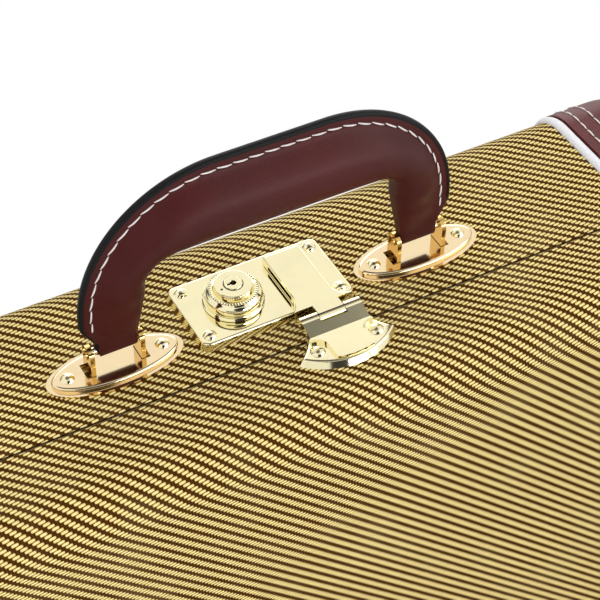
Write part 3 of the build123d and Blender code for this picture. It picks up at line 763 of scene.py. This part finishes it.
def row_tree():
    """Tree that lays an object along the seams of a mesh at a spacing, its X towards "up"."""
    tree = bpy.data.node_groups.new("row_of_stitches", "GeometryNodeTree")
    for name, kind in (("Geometry", "Geometry"), ("Stitch", "Object"), ("Spacing", "Float"),
                       ("Start", "Float"), ("Material", "Material")):
        tree.interface.new_socket(name, in_out="INPUT", socket_type="NodeSocket" + kind)
    tree.interface.new_socket("Geometry", in_out="OUTPUT", socket_type="NodeSocketGeometry")

    def node(kind, **settings):
        made = tree.nodes.new(kind)
        for name, value in settings.items():
            setattr(made, name, value)
        return made

    source = node("NodeGroupInput")
    line = node("GeometryNodeMeshToCurve")
    length = node("GeometryNodeSplineLength")
    trim = node("GeometryNodeTrimCurve", mode="LENGTH")
    points = node("GeometryNodeCurveToPoints", mode="LENGTH")
    up = node("GeometryNodeInputNamedAttribute", data_type="FLOAT_VECTOR")
    up.inputs["Name"].default_value = "up"
    info = node("GeometryNodeObjectInfo")
    first = node("FunctionNodeAlignRotationToVector", axis="Z")
    second = node("FunctionNodeAlignRotationToVector", axis="X", pivot_axis="Z")
    copies = node("GeometryNodeInstanceOnPoints")
    real = node("GeometryNodeRealizeInstances")
    coat = node("GeometryNodeSetMaterial")
    result = node("NodeGroupOutput")

    def link(start, output, end, entry):
        tree.links.new(start.outputs[output], end.inputs[entry])

    link(source, "Geometry", line, "Mesh")
    link(line, "Curve", trim, "Curve")
    link(source, "Start", trim, 4)
    link(length, "Length", trim, 5)
    link(trim, "Curve", points, "Curve")
    link(source, "Spacing", points, "Length")
    link(source, "Stitch", info, "Object")
    link(points, "Tangent", first, "Vector")
    link(first, "Rotation", second, "Rotation")
    link(up, "Attribute", second, "Vector")
    link(points, "Points", copies, "Points")
    link(info, "Geometry", copies, "Instance")
    link(second, "Rotation", copies, "Rotation")
    link(copies, "Instances", real, "Geometry")
    link(real, "Geometry", coat, "Geometry")
    link(source, "Material", coat, "Material")
    link(coat, "Geometry", result, "Geometry")
    return tree


def lathe(name, sides, rings):
    """Small closed shape along Z from rings of (height, radius, shift to X, shift to Y)."""
    vertices = []
    for height, radius, lift, lean in rings:
        for corner in range(sides):
            angle = 2 * math.pi * corner / sides
            vertices.append((lift + radius * math.cos(angle), lean + radius * math.sin(angle), height))
    mesh = bpy.data.meshes.new(name)
    mesh.from_pydata(vertices, [], tube_faces(len(rings), sides))
    mesh.shade_smooth()
    return placed(name, mesh)


def stitch_shape(length, radius, sway):
    """One stitch along Z: a thread that rises from its hole and dips into the next."""
    rings = []
    for ring in range(8):
        share = ring / 7
        taper = math.sin(math.pi * (0.10 + 0.80 * share)) ** 0.5
        lift = radius * 0.9 * (math.sin(math.pi * share) - 0.35)
        rings.append((length * (share - 0.5), radius * taper, lift, sway * (2 * share - 1)))
    return lathe("stitch_shape", 8, rings)


def hole_shape(radius):
    """Flat dark dot along X, painted shade where the needle went in."""
    shape = lathe("hole_shape", 10, [(-0.04 * mm, radius, 0, 0), (0.04 * mm, radius, 0, 0)])
    shape.data.transform(Matrix.Rotation(math.pi / 2, 4, "Y"))
    return shape


def row_of(name, shape, paths, spacing, start, finish, body):
    """Copies of a shape along paths of (point, up) pairs, as one piece."""
    tree = bpy.data.node_groups.get("row_of_stitches") or row_tree()
    names = {item.name: item.identifier for item in tree.interface.items_tree
             if item.in_out == "INPUT"}
    spots = []
    ups = []
    links = []
    for path in paths:
        links += [(len(spots) + i, len(spots) + i + 1) for i in range(len(path) - 1)]
        spots += [tuple(point) for point, up in path]
        for point, up in path:
            ups += list(up)
    seam = bpy.data.meshes.new("seam")
    seam.from_pydata(spots, links, [])
    held = seam.attributes.new("up", "FLOAT_VECTOR", "POINT")
    held.data.foreach_set("vector", ups)
    line = placed("seam", seam)
    modifier = line.modifiers.new("row", "NODES")
    modifier.node_group = tree
    settings = {"Stitch": shape, "Spacing": spacing, "Start": start, "Material": finish}
    for label, value in settings.items():
        modifier[names[label]] = value
    graph = bpy.context.evaluated_depsgraph_get()
    mesh = bpy.data.meshes.new_from_object(line.evaluated_get(graph))
    if not mesh.polygons:
        raise RuntimeError(f"{name} came out empty")
    bpy.data.objects.remove(line)
    bpy.data.objects.remove(shape)
    mesh.shade_smooth()
    thing = painted(placed(name, mesh), finish)
    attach(thing, body)
    return thing


def stitched(name, paths, length, spacing, sway, body):
    """Sewing along each path: threads, and dark dots of painted shade for the needle holes between them."""
    thread = paint("sewing_thread")
    dark = paint("keyway")
    radius = sizes().thread_radius
    rows = row_of(name, stitch_shape(length, radius, sway), paths, spacing, 0.0, thread, body)
    holes = row_of(f"{name}_holes", hole_shape(radius * 1.5), paths, spacing, spacing / 2, dark, body)


# Operators

class CASE_OT_finishes(bpy.types.Operator):
    """Makes every finish of the case"""

    bl_idname = "case.finishes"
    bl_label = "Make finishes"

    def execute(self, context):
        for make in (tweed, bead_skin, sewing_thread, edge_paint, keyhole_dark, plywood, plain_steel):
            make()
        tint = colours()
        leather("leather", tint.burgundy, 0.19)
        # The ends take the handle's leather painted lighter, standing in for the light on their upward
        # faces.
        leather("end_leather_painted_light", toned(tint.burgundy, 1.85), 0.34)
        gilt = tuple(tint.gilt)
        plated("gilt_polished", gilt, 0.05, 0.03)
        rosy = (gilt[0] * 0.97, gilt[1] * 0.85, gilt[2] * 0.82)
        plated("gilt_loops", rosy, 0.09, 0.04)
        # The ears' finish carries a painted reflection in a darker orange.
        plated("gilt_ears", rosy, 0.09, 0.04, painted_reflection_mask=ears_painted_reflection)
        plated("gilt_hasp", gilt, 0.11, 0.04)
        plated("gilt_skirt", gilt, 0.07, 0.04, press=hasp_press)
        plated("gilt_satin", gilt, 0.24, 0.08)
        plush_skin("plush", tint.plush, 0.35 * mm)
        plush_skin("flocked_foam", toned(tint.plush, 0.8), 0.25 * mm)
        return {"FINISHED"}


class CASE_OT_stage(bpy.types.Operator):
    """Sets the camera, the floor and the studio light"""

    bl_idname = "case.stage"
    bl_label = "Set the stage"

    def execute(self, context):
        make_camera()
        make_floor()
        make_light()
        return {"FINISHED"}


def make_camera():
    """Camera at the photograph's place: left of, above and in front of the handle wall."""
    eye = Vector((-238.58, -444.87, 799.76)) * mm
    right = Vector((0.87823, -0.47807, 0.01277))
    up = Vector((0.32991, 0.62496, 0.70752))
    data = bpy.data.cameras.new("camera")
    data.lens = 112.85
    data.sensor_width = 36.0
    data.clip_start = 0.01
    data.clip_end = 20.0
    camera = placed("camera", data)
    turn = Matrix((right, up, right.cross(up))).transposed().to_4x4()
    camera.matrix_world = Matrix.Translation(eye) @ turn
    bpy.context.scene.camera = camera


def make_floor():
    """Pale floor, all but clear to the camera, so that the lid shows where it opens below the feet."""
    clear_share = 0.96
    mirrored_share = 0.86
    reach = 6.0
    finish = Finish("floor")
    path = finish.node("ShaderNodeLightPath")
    pale = finish.made("ShaderNodeBsdfDiffuse", {"Color": (0.95, 0.95, 0.95)})
    white = finish.made("ShaderNodeEmission", {"Color": (1.0, 1.0, 1.0), "Strength": 1.0})
    clear = finish.made("ShaderNodeBsdfTransparent")
    seen = finish.either(finish.wire(path, "Is Camera Ray") * clear_share, pale, clear)
    finish.end(finish.either(finish.wire(path, "Is Glossy Ray") * mirrored_share, seen, white))
    mesh = bpy.data.meshes.new("floor")
    corners = [(-reach, -reach, 0), (reach, -reach, 0), (reach, reach, 0), (-reach, reach, 0)]
    mesh.from_pydata(corners, [], [(0, 1, 2, 3)])
    floor = painted(placed("floor", mesh), finish.material)
    floor.visible_shadow = False


def lamp(name, place, target, width, height, power):
    """Soft box of a width and height that faces a target."""
    data = bpy.data.lights.new(name, "AREA")
    data.shape = "RECTANGLE"
    data.size = width
    data.size_y = height
    data.energy = power
    light = placed(name, data)
    light.location = place
    light.rotation_euler = (Vector(target) - Vector(place)).to_track_quat("-Z", "Y").to_euler()
    return light


def mirror_room(studio):
    """What metal mirrors each way: pale side walls, a dark horizon and ceiling, and a dark patch."""
    way = studio.wire(studio.node("ShaderNodeTexCoord"), "Generated")
    parts = studio.node("ShaderNodeSeparateXYZ", {0: way})
    greys = ((0.0, 0.62), (0.02, 0.10), (0.20, 0.16), (0.34, 0.95), (0.78, 1.0), (0.87, 0.92),
             (0.93, 0.22), (1.0, 0.16))
    stops = [(height, (grey, grey, grey * 0.98)) for height, grey in greys]
    heights = studio.ramp(studio.wire(parts, "Z"), stops)
    beside = (studio.wire(parts, "X") + 0.12).size().between(0.60, 0.70)
    walls = studio.mix(beside, heights, (0.95, 0.95, 0.94))
    patch_way = Vector((-0.03, -0.84, 0.54)).normalized()
    facing = studio.node("ShaderNodeVectorMath", {0: way, 1: patch_way}, operation="DOT_PRODUCT")
    patch = studio.wire(facing, "Value").between(0.932, 0.950)
    return studio.mix(patch, walls, (0.04, 0.04, 0.04))


def make_light():
    """Soft boxes, a plain room for diffuse light, another one for mirror images, and a white ground."""
    world = bpy.data.worlds.new("studio")
    bpy.context.scene.world = world
    world.use_nodes = True
    studio = Shader(world.node_tree, "ShaderNodeOutputWorld")

    def background(colour, strength):
        return studio.made("ShaderNodeBackground", {"Color": colour, "Strength": strength})

    white = (1.0, 1.0, 1.0)
    room = background(white, 0.44)
    path = studio.node("ShaderNodeLightPath")
    mirror = background(mirror_room(studio), 1.0)
    lit = studio.either(studio.wire(path, "Is Glossy Ray"), room, mirror)
    studio.end(studio.either(studio.wire(path, "Is Camera Ray"), lit, background(white, 1.0)))
    aim = (0, 0, wall_top)
    lamp("key", (-0.9, -1.6, 1.3), aim, 1.2, 0.9, 25).visible_glossy = False
    lamp("fill", (1.4, -0.9, 1.0), aim, 1.0, 1.0, 9)
    lamp("strip", (0.68, -1.70, 0.72), aim, 0.9, 0.36, 11).visible_diffuse = False
    lamp("top", (0.1, 0.5, 1.9), aim, 1.4, 1.0, 10).visible_glossy = False
    lamp("back", (0.7, 1.7, 0.9), (0, 0, wall_top / 2), 1.4, 1.2, 14)
    bpy.context.scene.view_settings.view_transform = "Standard"


class CASE_OT_covers(bpy.types.Operator):
    """Wraps base and lid in tweed"""

    bl_idname = "case.covers"
    bl_label = "Tweed covers"

    def execute(self, context):
        cover(1, "tweed_base", "base", "base_cover")
        cover(-1, "tweed_lid", "lid", "lid_cover")
        return {"FINISHED"}


class CASE_OT_ends(bpy.types.Operator):
    """Finishes the leather ends, their piping and their stitches"""

    bl_idname = "case.ends"
    bl_label = "Leather ends"

    def execute(self, context):
        for half in ("base", "lid"):
            for end in ("left", "right"):
                # The leather ends get the painted lighter copy of the handle's leather.
                dress({"end_leather_painted_light": [f"{half}_leather_{end}"], "piping": [f"{half}_piping_{end}"]})
        rise = leather_high.y - base_back
        for side, half in ((1, "base"), (-1, "lid")):
            section = case_section(side, -rise, 24)
            paths = []
            for end in (-1, 1):
                for inset in end_rows:
                    paths.append(end_path(section, side, end * (cover_half + inset)))
            stitched(f"{half}_end_stitches", paths, end_stitch, sizes().end_stitch_pitch, 0.0, half)
        return {"FINISHED"}


def end_path(section, side, x):
    """Seam round an end at one X, with its way up from the leather at each point."""
    path = []
    for index, (y, z, run) in enumerate(section):
        before = section[max(0, index - 1)]
        after = section[min(len(section) - 1, index + 1)]
        along_y = after[0] - before[0]
        along_z = after[1] - before[1]
        length = math.hypot(along_y, along_z)
        up = Vector((0, -side * along_z / length, side * along_y / length))
        path.append((Vector((x, y, z)) + up * thread_stand, up))
    return path


class CASE_OT_handle(bpy.types.Operator):
    """Makes the padded leather handle with its stitched fin"""

    bl_idname = "case.handle"
    bl_label = "Handle"

    def execute(self, context):
        handle_leather()
        handle_edge()
        line = fin_line(seam_inset, 18.6 * mm)
        rows = []
        for face in (-1, 1):
            up = Vector((0, face, 0))
            shift = handle_place + up * (fin_half + thread_stand)
            rows.append([(point + shift, up) for point in line])
        pitch = sizes().handle_stitch_pitch
        stitched("handle_stitches", rows, handle_stitch, pitch, 0.30 * mm, "handle")
        return {"FINISHED"}


def circle_path(radius, height, count):
    """Closed path round the boss's axis, with its way up along Z."""
    path = []
    for step in range(count * 4 + 1):
        angle = math.pi * step / count / 2
        spot = Vector((math.cos(angle) * radius, math.sin(angle) * radius, 0))
        path.append((boss_seat + spot + Vector((0, 0, height)), Vector((0, 0, 1))))
    return path


def coin_ring():
    """Teeth, and dark slivers of painted shade for the notches, round the top of the boss's dome."""
    count = sizes().coin_notches
    radius = 8.95 * mm
    height = 6.32 * mm
    end = 0.24 * mm
    tooth_depth = 4.8
    notch_depth = 10.5
    pitch = 2 * math.pi * radius / count
    spacing = pitch * 1.0001
    path = circle_path(radius, height, count)
    tooth = lathe("tooth", 8, [(-end, 0.06 * mm, 0, 0), (-0.15 * mm, 0.14 * mm, 0, 0),
                               (0.15 * mm, 0.14 * mm, 0, 0), (end, 0.06 * mm, 0, 0)])
    tooth.data.transform(Matrix.Diagonal((1.0, tooth_depth, 1.0, 1.0)))
    teeth = row_of("boss_coining", tooth, [path], spacing, pitch / 2,
                   paint("gilt_polished"), "lock_slider")
    # The notches are dark slivers of painted shade between the teeth.
    notch = lathe("notch", 8, [(-end, 0.07 * mm, 0, 0), (end, 0.07 * mm, 0, 0)])
    notch.data.transform(Matrix.Diagonal((1.0, notch_depth, 1.0, 1.0)))
    notches = row_of("boss_notches", notch, [path], spacing, 0.0, paint("keyway"), "lock_slider")


def flat_shape(name, outlines, low, high, round_over, finish, body):
    """Plate cut to closed outlines round the boss's axis, the later ones being holes."""
    drawing = bpy.data.curves.new(name, "CURVE")
    drawing.dimensions = "2D"
    drawing.fill_mode = "BOTH"
    drawing.extrude = (high - low) / 2 - round_over
    drawing.bevel_depth = round_over
    drawing.bevel_resolution = 2
    for outline in outlines:
        line = drawing.splines.new("POLY")
        line.points.add(len(outline) - 1)
        for point, (x, y) in zip(line.points, outline):
            point.co = (x, y, 0, 1)
        line.use_cyclic_u = True
    sketch = placed(name, drawing)
    graph = bpy.context.evaluated_depsgraph_get()
    mesh = bpy.data.meshes.new_from_object(sketch.evaluated_get(graph))
    bpy.data.objects.remove(sketch)
    mesh.transform(Matrix.Translation(boss_seat + Vector((0, 0, (low + high) / 2))))
    thing = painted(placed(name, mesh), finish)
    turned_out(thing)
    smooth(thing, 12)
    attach(thing, body)
    return thing


def arc(radius, first=0.0, last=2 * math.pi, steps=48):
    """Points round the boss's axis from one angle up to another."""
    angles = [first + (last - first) * step / steps for step in range(steps)]
    return [(radius * math.cos(angle), radius * math.sin(angle)) for angle in angles]


def key_face():
    """Turning plug with its keyhole, a dark disc of painted shade inside the keyhole, and a dark ring of
    painted shade for the groove round it.
    """
    radius = 1.45 * mm
    slot_half = 0.62 * mm
    slot_reach = 2.75 * mm
    boss_top = 8.6 * mm
    edge = 0.02 * mm
    gilt = paint("gilt_polished")
    dark = paint("keyway")
    lean = math.asin(slot_half / radius)
    hole = arc(radius, math.pi + lean, 3 * math.pi - lean, 28)
    hole += [(-radius * math.cos(lean), slot_half), (-slot_reach, slot_half), (-slot_reach, -slot_half)]
    plug = flat_shape("key_face", [arc(3.42 * mm), hole], 3.5 * mm, 9.2 * mm, 0.18 * mm, gilt, "key_plug")
    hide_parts("key_plug")
    # Painted shade: a dark disc inside the keyhole.
    floor = flat_shape("keyway_floor", [arc(3.2 * mm, steps=32)], 5.2 * mm, 5.6 * mm, edge, dark,
                       "key_plug")
    # Painted shade: a thin dark ring on the boss top for the groove round the plug.
    groove = flat_shape("key_groove", [arc(3.95 * mm), arc(3.5 * mm)], boss_top, 8.86 * mm, edge, dark,
                        "lock_slider")
    dot = [(x - 5.3 * mm, y - 0.9 * mm) for x, y in arc(0.5 * mm, steps=12)]
    mark = flat_shape("key_mark", [dot], boss_top, 8.85 * mm, edge, dark, "lock_slider")


class CASE_OT_fittings(bpy.types.Operator):
    """Plates the lock, hasp, loops, hinges and feet"""

    bl_idname = "case.fittings"
    bl_label = "Metal fittings"

    def execute(self, context):
        dress({
            "gilt_polished": ("lock_plate", "lock_boss", "hasp_leaf", "hasp_pin"),
            "gilt_skirt": ("hasp_plate",),
            "gilt_hasp": ("hasp_screws", "lock_rivets", "loop_rivets"),
            "gilt_loops": ("loop_plate_left", "loop_plate_right"),
            "gilt_ears": ("loop_bracket_left", "loop_bracket_right", "loop_pins"),
            "gilt_satin": ("base_feet", "lid_feet", "base_hinge_leaves", "lid_hinge_leaves",
                           "hinge_pins", "base_hinge_rivets", "lid_hinge_rivets"),
            "steel": ("lock_case", "lock_slide", "lock_spring"),
        })
        coin_ring()
        key_face()
        return {"FINISHED"}


class CASE_OT_inside(bpy.types.Operator):
    """Finishes the shells, linings, insert and the lid's pad"""

    bl_idname = "case.inside"
    bl_label = "Inside"

    def execute(self, context):
        dress({
            "birch_ply": ("base_shell", "lid_shell"),
            "plush": ("base_lining", "lid_lining", "rim_strip"),
            "flocked_foam": ("foam_frame", "slot_floor", "row_divider", "slot_dividers",
                             "bay_divider", "bay_floor"),
        })
        self.pad()
        return {"FINISHED"}

    def pad(self):
        """Crowned cushion with a grid of shallow tufts."""
        columns = 61
        rows = 41
        depth = pad_high.y - pad_low.y
        half_x = (pad_high.x - pad_low.x) / 2 - 1 * mm
        half_z = (pad_high.z - pad_low.z) / 2 - 1 * mm
        middle_z = (pad_high.z + pad_low.z) / 2
        front = []
        for row in range(rows):
            v = 2 * row / (rows - 1) - 1
            for column in range(columns):
                u = 2 * column / (columns - 1) - 1
                fall = (1 - abs(u) ** 8) * (1 - abs(v) ** 8)
                tuft = (math.sin(3 * math.pi * (u + 1) / 2) * math.sin(math.pi * (v + 1))) ** 2
                height = depth * (0.25 + 0.45 * fall ** 0.5 + 0.28 * fall * tuft)
                pull = 1 - 0.012 * (1 - abs(u) ** 2) * abs(v) ** 6
                front.append((half_x * u, pad_low.y + height, middle_z + half_z * v * pull))
        back = [(x, pad_low.y + 0.2 * mm, z) for x, y, z in front]
        count = rows * columns
        faces = grid_faces(rows, columns)
        faces += [tuple(count + index for index in face[::-1]) for face in faces]
        rim = list(range(columns))
        rim += [row * columns + columns - 1 for row in range(1, rows)]
        rim += [(rows - 1) * columns + column for column in range(columns - 2, -1, -1)]
        rim += [row * columns for row in range(rows - 2, 0, -1)]
        for index, vertex in enumerate(rim):
            following = rim[(index + 1) % len(rim)]
            faces.append((vertex, following, count + following, count + vertex))
        pad = piece("lid_cushion", front + back, faces, paint("plush"), "lid", 70)
        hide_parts("lid_pad")


class CASE_PT_panel(bpy.types.Panel):
    """Lists the steps that dress the case"""

    bl_label = "Harmonica case"
    bl_idname = "CASE_PT_panel"
    bl_space_type = "VIEW_3D"
    bl_region_type = "UI"
    bl_category = "Case"

    def draw(self, context):
        for step in steps:
            self.layout.operator(step.bl_idname)
        for group in (context.scene.case_sizes, context.scene.case_colours):
            for name in group.bl_rna.properties.keys():
                if name not in ("rna_type", "name"):
                    self.layout.prop(group, name)


steps = (CASE_OT_finishes, CASE_OT_stage, CASE_OT_covers, CASE_OT_ends, CASE_OT_handle,
         CASE_OT_fittings, CASE_OT_inside)
classes = (CaseSizes, CaseColours, *steps, CASE_PT_panel)


def register():
    for kind in classes:
        bpy.utils.register_class(kind)
    bpy.types.Scene.case_sizes = PointerProperty(type=CaseSizes)
    bpy.types.Scene.case_colours = PointerProperty(type=CaseColours)


def unregister():
    del bpy.types.Scene.case_colours
    del bpy.types.Scene.case_sizes
    for kind in reversed(classes):
        bpy.utils.unregister_class(kind)


def main():
    register()
    bpy.ops.case.finishes()
    bpy.ops.case.stage()
    bpy.ops.case.covers()
    bpy.ops.case.ends()
    bpy.ops.case.handle()
    bpy.ops.case.fittings()
    bpy.ops.case.inside()


if __name__ == "__main__":
    main()
